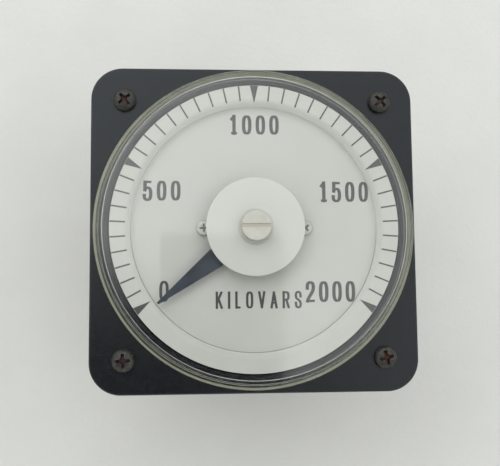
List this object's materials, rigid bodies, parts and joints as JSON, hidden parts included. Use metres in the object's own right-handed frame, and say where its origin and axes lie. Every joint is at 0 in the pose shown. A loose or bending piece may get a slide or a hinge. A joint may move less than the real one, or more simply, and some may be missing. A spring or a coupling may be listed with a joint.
{
  "type": "analog panel meter",
  "caption": "Square-flanged switchboard meter with a round clear window, a long circular scale swept by one pointer, a zero adjuster, mounting studs and rear terminals.",
  "frame": {"origin": "centre of the four mounting studs, on the back face of the flange", "axes": "+Z is the way the dial faces, out of the panel; +X is right and +Y is up as the dial is read"},
  "size_m": [0.108, 0.108, 0.1047],
  "materials": {
    "black_moulding": "fine textured black moulding",
    "plated_steel": "zinc plated",
    "blackened_steel": "blackened, rust in the recesses",
    "rubber": "matte",
    "seat_vinyl": "aged pale grey-green, seen through the window's brim",
    "clear_window": "clear polished",
    "white_plastic": "off-white",
    "white_paint": "matte white paint",
    "white_screws": "painted over",
    "brass": "plain",
    "bright_steel": "polished",
    "pointer_paint": "dark blue-black paint",
    "scale_ink": "printed scale marks and figures",
    "bare_aluminium": "plain",
    "bronze": "spring bronze",
    "core_steel": "varnished laminations",
    "bobbin_plastic": "natural",
    "copper_wire": "enamelled copper winding",
    "board_laminate": "brown laminate",
    "capacitor_can": "plain can",
    "resistor_body": "coated"
  },
  "bodies": {
    "case": {"front_bezel": "black_moulding", "case_barrel": "black_moulding", "rear_plate": "black_moulding", "case_screws": "plated_steel", "mounting_screws": "blackened_steel", "captive_nuts": "plated_steel", "window_gasket": "seat_vinyl", "window": "clear_window", "dial_plate": "white_paint", "scale_ring": "white_paint", "dial_posts": "brass", "dial_screws": "white_screws", "hub_disk": "white_paint", "front_bridge": "brass", "bridge_pillars": "brass", "stop_sleeves": "rubber", "upper_jewel_screw": "brass", "lower_jewel_screw": "brass", "lower_hairspring": "bronze", "lower_spring_post": "brass", "top_plate": "bare_aluminium", "bottom_plate": "bare_aluminium", "frame_bolts": "plated_steel", "frame_nuts": "plated_steel", "upper_spacers": "bare_aluminium", "lower_spacers": "bare_aluminium", "movement_posts": "brass", "movement_screws": "plated_steel", "laminated_core": "core_steel", "field_bobbin": "bobbin_plastic", "field_coil": "copper_wire", "terminal_studs": "brass", "terminal_washers": "brass", "terminal_nuts": "brass", "lock_washers": "plated_steel", "wiring_nuts": "brass", "circuit_board": "board_laminate", "phase_capacitor": "capacitor_can", "series_resistors": "resistor_body", "field_leads": "copper_wire"},
    "movement": {"spindle": "bright_steel", "pointer": "pointer_paint", "pointer_hub": "bare_aluminium", "balance_cross": "bare_aluminium", "balance_weights": "brass", "upper_collet": "brass", "lower_collet": "brass", "moving_coil": "copper_wire", "coil_former": "bare_aluminium", "upper_carrier": "bare_aluminium", "lower_carrier": "bare_aluminium"},
    "zero_knob": {"zero_adjuster": "white_plastic", "adjuster_dog": "white_plastic"},
    "zero_lever": {"zero_arm": "brass", "upper_hairspring": "bronze"}
  },
  "joints": [
    {"name": "pointer_swing", "type": "hinge", "parent": "case", "child": "movement", "pos_m": [0, 0, 0], "axis": [0, 0, -1], "range_deg": [0, 255.5], "stiffness_Nm_per_rad": 0.00001, "springref_deg": -2.86},
    {"name": "zero_adjust", "type": "hinge", "parent": "case", "child": "zero_knob", "pos_m": [0, 0, 0.02], "axis": [0, 0, 1], "range_deg": [-12, 12]},
    {"name": "zero_lever_turn", "type": "hinge", "parent": "case", "child": "zero_lever", "pos_m": [0, 0, 0.016], "axis": [0, 0, 1], "range_deg": [-12, 12]}
  ],
  "couplings": [
    {"joint": "zero_lever_turn", "follows": "zero_adjust", "ratio": 1}
  ]
}
